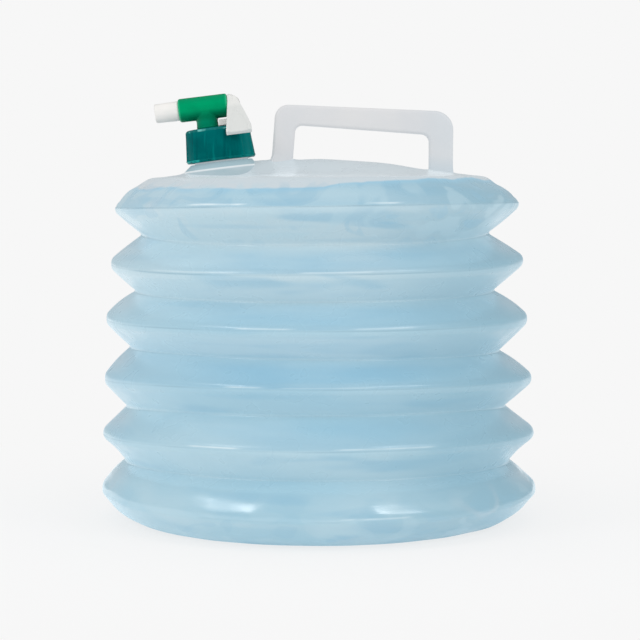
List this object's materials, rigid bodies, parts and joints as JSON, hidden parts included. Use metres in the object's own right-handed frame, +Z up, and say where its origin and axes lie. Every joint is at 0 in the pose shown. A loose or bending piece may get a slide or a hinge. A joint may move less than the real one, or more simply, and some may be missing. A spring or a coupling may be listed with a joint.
{
  "type": "collapsible water carrier",
  "caption": "Soft translucent water carrier with concertina folds, a domed top, a moulded carrying handle, a tilted screw cap and a lever tap with a spout.",
  "frame": {"origin": "centre of the flat base, on the floor", "axes": "+Z up along the container's axis; the handle and the neck stand in the XZ plane, with the tap's spout towards -X; the tap's lever is on the -Y side"},
  "size_m": [0.2628, 0.2628, 0.2562],
  "materials": {
    "container_film": "translucent satin",
    "handle_film": "translucent satin",
    "cap_plastic": "glossy, slightly translucent",
    "tap_plastic": "glossy",
    "plug_plastic": "satin",
    "gasket_rubber": "matte",
    "washer_rubber": "matte"
  },
  "bodies": {
    "base": {"base_pan": "container_film", "bellows_foot": "container_film"},
    "ring_1": {"bellows_ring_1": "container_film"},
    "ring_2": {"bellows_ring_2": "container_film"},
    "ring_3": {"bellows_ring_3": "container_film"},
    "ring_4": {"bellows_ring_4": "container_film"},
    "top": {"bellows_head": "container_film", "top_shell": "container_film", "carry_handle": "handle_film"},
    "gasket": {"cap_gasket": "gasket_rubber"},
    "cap": {"screw_cap": "cap_plastic", "stem_washer": "washer_rubber", "tap_body": "tap_plastic"},
    "plug": {"valve_plug": "plug_plastic"}
  },
  "joints": [
    {"name": "collapse", "type": "slide", "parent": "base", "child": "top", "axis": [0, 0, 1], "range_m": [-0.13, 0], "deforming": ["bellows_foot", "bellows_ring_1", "bellows_ring_2", "bellows_ring_3", "bellows_ring_4", "bellows_head"]},
    {"name": "ring_1_slide", "type": "slide", "parent": "base", "child": "ring_1", "axis": [0, 0, 1], "range_m": [-0.0127, 0]},
    {"name": "ring_2_slide", "type": "slide", "parent": "base", "child": "ring_2", "axis": [0, 0, 1], "range_m": [-0.0379, 0]},
    {"name": "ring_3_slide", "type": "slide", "parent": "base", "child": "ring_3", "axis": [0, 0, 1], "range_m": [-0.0642, 0]},
    {"name": "ring_4_slide", "type": "slide", "parent": "base", "child": "ring_4", "axis": [0, 0, 1], "range_m": [-0.091, 0]},
    {"name": "cap_lift", "type": "slide", "parent": "top", "child": "gasket", "axis": [-0.1219, 0, 0.9925], "range_m": [0, 0.01601]},
    {"name": "cap_turn", "type": "hinge", "parent": "gasket", "child": "cap", "pos_m": [-0.0584, 0, 0.21519], "axis": [-0.1219, 0, 0.9925], "range_deg": [0, 1440]},
    {"name": "valve_turn", "type": "hinge", "parent": "cap", "child": "plug", "pos_m": [-0.06853, -0.002, 0.24679], "axis": [-0.9925, 0, -0.1219], "range_deg": [0, 90]}
  ],
  "couplings": [
    {"joint": "ring_1_slide", "follows": "collapse", "ratio": 0.097133},
    {"joint": "ring_2_slide", "follows": "collapse", "ratio": 0.29107},
    {"joint": "ring_3_slide", "follows": "collapse", "ratio": 0.49329},
    {"joint": "ring_4_slide", "follows": "collapse", "ratio": 0.69964},
    {"joint": "cap_lift", "follows": "cap_turn", "m_per_rad": 0.00063662}
  ]
}
